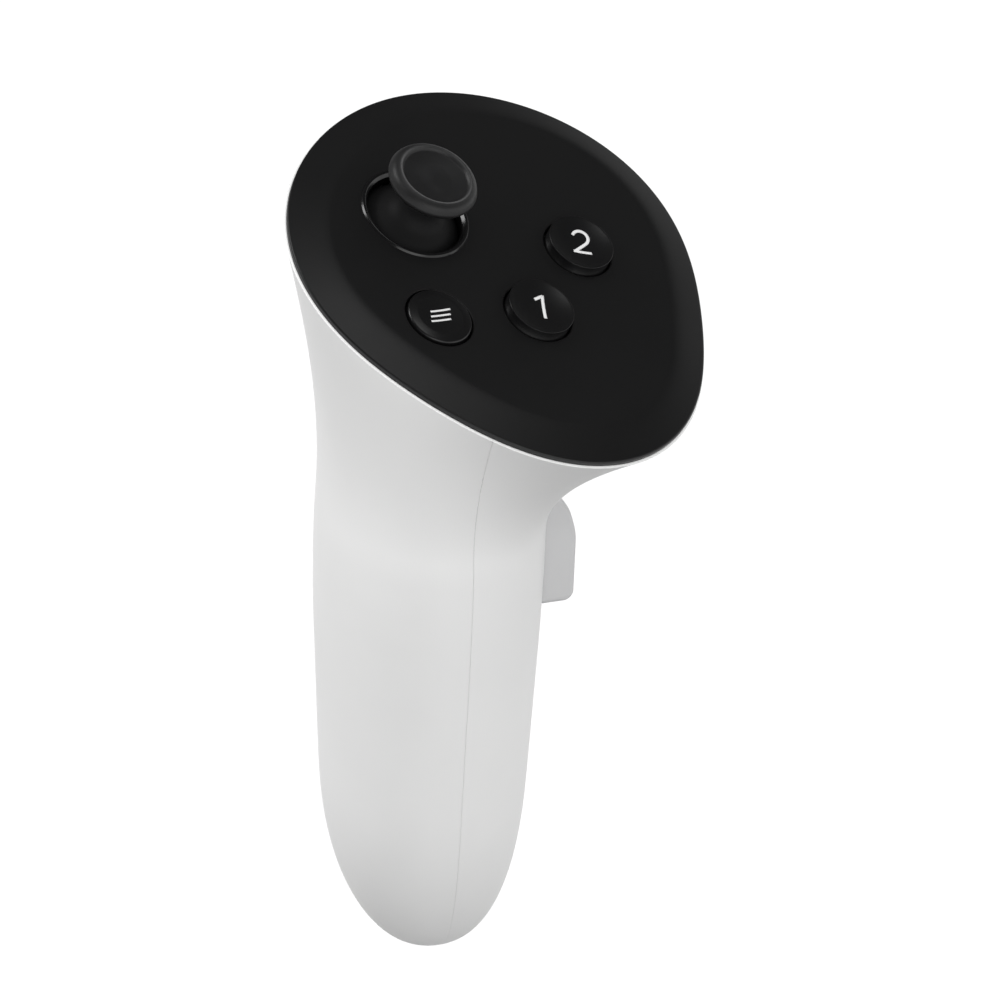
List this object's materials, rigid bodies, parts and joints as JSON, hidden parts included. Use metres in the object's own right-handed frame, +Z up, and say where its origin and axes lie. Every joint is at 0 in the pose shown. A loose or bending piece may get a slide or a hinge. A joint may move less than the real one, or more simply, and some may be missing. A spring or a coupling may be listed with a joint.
{
  "type": "vr motion controller",
  "caption": "Hand-held motion controller: white oval handle flaring to a tilted black faceplate with a thumbstick and round buttons, a grip lever and an index trigger.",
  "frame": {"origin": "middle of the palm's grip, on the axis of the handle", "axes": "+Z up the handle towards the faceplate, +Y away from the user, +X to the user's right"},
  "size_m": [0.0662, 0.0694, 0.1277],
  "materials": {
    "white_plastic": "satin",
    "grey_plastic": "satin",
    "black_plastic": "satin",
    "button_plastic": "semi-gloss",
    "black_rubber": "matte",
    "dark_nylon": "matte",
    "bright_steel": "bright",
    "amber_film": "satin",
    "green_board": "satin",
    "battery_wrap": "gloss"
  },
  "bodies": {
    "housing": {"aerial_strip": "amber_film", "battery": "battery_wrap", "battery_contact": "bright_steel", "battery_spring": "bright_steel", "battery_tray": "dark_nylon", "board_screw_1": "bright_steel", "board_screw_2": "bright_steel", "board_screw_3": "bright_steel", "bracket_screw_1": "bright_steel", "bracket_screw_2": "bright_steel", "button_board": "green_board", "faceplate": "black_plastic", "flat_cable": "amber_film", "grip_pin": "bright_steel", "grip_sensor": "dark_nylon", "grip_spring": "bright_steel", "lanyard_pin": "bright_steel", "left_shell": "white_plastic", "light_ring": "green_board", "lower_dome": "bright_steel", "main_board": "green_board", "menu_dome": "bright_steel", "radio_shield": "bright_steel", "right_shell": "white_plastic", "stick_module": "dark_nylon", "stick_switch": "bright_steel", "tilt_sensor_back": "dark_nylon", "tilt_sensor_side": "dark_nylon", "tray_screw_left_lower": "bright_steel", "tray_screw_left_upper": "bright_steel", "tray_screw_right_lower": "bright_steel", "tray_screw_right_upper": "bright_steel", "trigger_bracket": "dark_nylon", "trigger_pin": "bright_steel", "trigger_sensor": "dark_nylon", "trigger_spring": "bright_steel", "upper_dome": "bright_steel", "vibration_motor": "bright_steel"},
    "stick_roll": {"outer_gimbal": "bright_steel"},
    "stick_pitch": {"inner_gimbal": "bright_steel"},
    "stick": {"thumbstick_shaft": "dark_nylon", "thumbstick_cap": "black_rubber"},
    "upper_key": {"upper_button": "button_plastic"},
    "lower_key": {"lower_button": "button_plastic"},
    "menu_key": {"menu_button": "button_plastic"},
    "trigger": {"index_trigger": "white_plastic", "trigger_magnet": "bright_steel"},
    "grip": {"grip_lever": "grey_plastic", "grip_magnet": "bright_steel"},
    "door": {"battery_door": "white_plastic"}
  },
  "joints": [
    {"name": "stick_forward", "type": "hinge", "parent": "housing", "child": "stick_roll", "pos_m": [-0.00123, 0.01443, 0.05902], "axis": [0.9781, 0, -0.2079], "range_deg": [-16, 16], "stiffness_Nm_per_rad": 0.03},
    {"name": "stick_sideways", "type": "hinge", "parent": "stick_roll", "child": "stick_pitch", "pos_m": [-0.00123, 0.01443, 0.05902], "axis": [0.0986, 0.8805, 0.4637], "range_deg": [-16, 16], "stiffness_Nm_per_rad": 0.03},
    {"name": "stick_press", "type": "slide", "parent": "stick_pitch", "child": "stick", "axis": [-0.1831, 0.4741, -0.8612], "range_m": [0, 0.0005], "stiffness_N_per_m": 2500, "deforming": ["stick_switch"]},
    {"name": "upper_button_press", "type": "slide", "parent": "housing", "child": "upper_key", "axis": [-0.1831, 0.4741, -0.8612], "range_m": [0, 0.001], "stiffness_N_per_m": 800, "deforming": ["upper_dome"]},
    {"name": "lower_button_press", "type": "slide", "parent": "housing", "child": "lower_key", "axis": [-0.1831, 0.4741, -0.8612], "range_m": [0, 0.001], "stiffness_N_per_m": 800, "deforming": ["lower_dome"]},
    {"name": "menu_button_press", "type": "slide", "parent": "housing", "child": "menu_key", "axis": [-0.1831, 0.4741, -0.8612], "range_m": [0, 0.0006], "stiffness_N_per_m": 800, "deforming": ["menu_dome"]},
    {"name": "trigger_pull", "type": "hinge", "parent": "housing", "child": "trigger", "pos_m": [0.00775, 0.0242, 0.06423], "axis": [-0.9781, 0, 0.2079], "range_deg": [0, 16], "stiffness_Nm_per_rad": 0.1},
    {"name": "grip_squeeze", "type": "hinge", "parent": "housing", "child": "grip", "pos_m": [0.014, 0, 0.027], "axis": [0, 1, 0], "range_deg": [0, 7], "stiffness_Nm_per_rad": 0.15, "deforming": ["grip_spring"]},
    {"name": "battery_door_pull", "type": "slide", "parent": "housing", "child": "door", "axis": [0, 1, 0], "range_m": [0, 0.02]}
  ]
}
